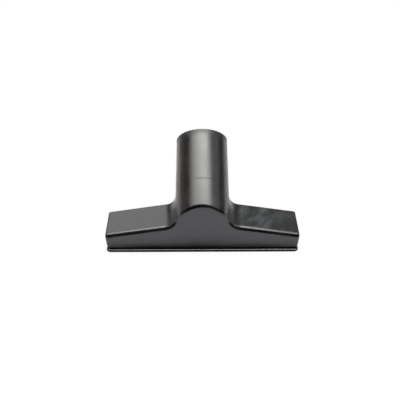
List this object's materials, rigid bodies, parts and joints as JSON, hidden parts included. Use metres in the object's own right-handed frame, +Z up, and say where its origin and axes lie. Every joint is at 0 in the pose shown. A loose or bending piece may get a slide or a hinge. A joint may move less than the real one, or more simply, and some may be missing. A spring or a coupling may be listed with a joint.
{
  "type": "vacuum upholstery nozzle",
  "caption": "Hollow moulded nozzle: a wide winged suction head with a lipped mouth, blended into a round socket that leans back and takes a vacuum hose end.",
  "frame": {"origin": "middle of the mouth, on the plane that the lip rests on", "axes": "+X along the wings, +Y from the flat front wall to the back, where the socket leans out, +Z up from the mouth"},
  "size_m": [0.15, 0.0792, 0.0755],
  "materials": {
    "black_plastic": "satin black moulded plastic"
  },
  "bodies": {
    "root": {"nozzle_body": "black_plastic"}
  },
  "joints": []
}
